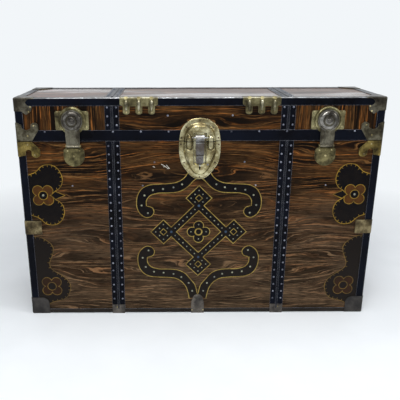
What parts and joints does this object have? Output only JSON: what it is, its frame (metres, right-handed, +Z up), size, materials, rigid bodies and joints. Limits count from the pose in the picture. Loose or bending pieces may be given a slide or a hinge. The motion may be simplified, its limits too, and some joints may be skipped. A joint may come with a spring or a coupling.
{
  "type": "flat-top travel trunk",
  "caption": "Flat-top travel trunk with a hinged lid, metal-bound boards, a front lock with a hinged hasp, side latches and end handles.",
  "frame": {"origin": "on the floor, under the middle of the trunk's bounding box, hardware included", "axes": "+X along the front towards the right-hand end, +Y to the hinged back, +Z up; the lock faces -Y"},
  "size_m": [0.9624, 0.2766, 0.5887],
  "materials": {
    "printed_board": "dark grained, semi-gloss",
    "rim_wood": "plain",
    "black_steel": "black enamel",
    "brass_plate": "aged brass plating",
    "nickel_plate": "dull nickel",
    "hasp_steel": "bright",
    "worn_steel": "dull grey",
    "hinge_steel": "black enamel",
    "pin_steel": "plain",
    "strap_leather": "dark, smooth"
  },
  "bodies": {
    "case": {"bottom_bell_clamp": "worn_steel", "bottom_caps": "worn_steel", "case_back_band_left": "black_steel", "case_back_band_right": "black_steel", "case_back_board": "printed_board", "case_bottom_binding": "black_steel", "case_bottom_board": "printed_board", "case_clamps": "brass_plate", "case_corner_bindings": "black_steel", "case_front_band_left": "black_steel", "case_front_band_right": "black_steel", "case_front_board": "printed_board", "case_left_end": "printed_board", "case_right_end": "printed_board", "case_rim": "rim_wood", "foot_clamps": "worn_steel", "handle_loops_left": "hinge_steel", "handle_loops_right": "hinge_steel", "handle_strap_left": "strap_leather", "handle_strap_right": "strap_leather", "hinge_case_leaves": "hinge_steel", "latch_keepers": "nickel_plate", "lock_lower_plate": "brass_plate", "mid_brackets": "brass_plate"},
    "lid": {"edge_clamps": "brass_plate", "hasp_pin": "pin_steel", "hinge_lid_leaves": "hinge_steel", "latch_strikes": "brass_plate", "lid_back_board": "printed_board", "lid_band_left": "black_steel", "lid_band_right": "black_steel", "lid_caps": "brass_plate", "lid_clamps": "brass_plate", "lid_corner_bindings": "black_steel", "lid_front_board": "printed_board", "lid_left_end": "printed_board", "lid_right_end": "printed_board", "lid_top_binding": "black_steel", "lid_top_board": "printed_board", "lid_valance": "black_steel", "lock_upper_plate": "brass_plate"},
    "hasp": {"lock_hasp": "hasp_steel"},
    "left_lever": {"latch_lever_left": "nickel_plate"},
    "right_lever": {"latch_lever_right": "nickel_plate"}
  },
  "joints": [
    {"name": "lid_hinge", "type": "hinge", "parent": "case", "child": "lid", "pos_m": [0, 0.13385, 0.4805], "axis": [-1, 0, 0], "range_deg": [0, 100]},
    {"name": "hasp_hinge", "type": "hinge", "parent": "lid", "child": "hasp", "pos_m": [0, -0.13135, 0.49], "axis": [-1, 0, 0], "range_deg": [0, 110]},
    {"name": "left_lever_hinge", "type": "hinge", "parent": "case", "child": "left_lever", "pos_m": [-0.316, -0.12835, 0.468], "axis": [1, 0, 0], "range_deg": [0, 150]},
    {"name": "right_lever_hinge", "type": "hinge", "parent": "case", "child": "right_lever", "pos_m": [0.316, -0.12835, 0.468], "axis": [1, 0, 0], "range_deg": [0, 150]}
  ]
}
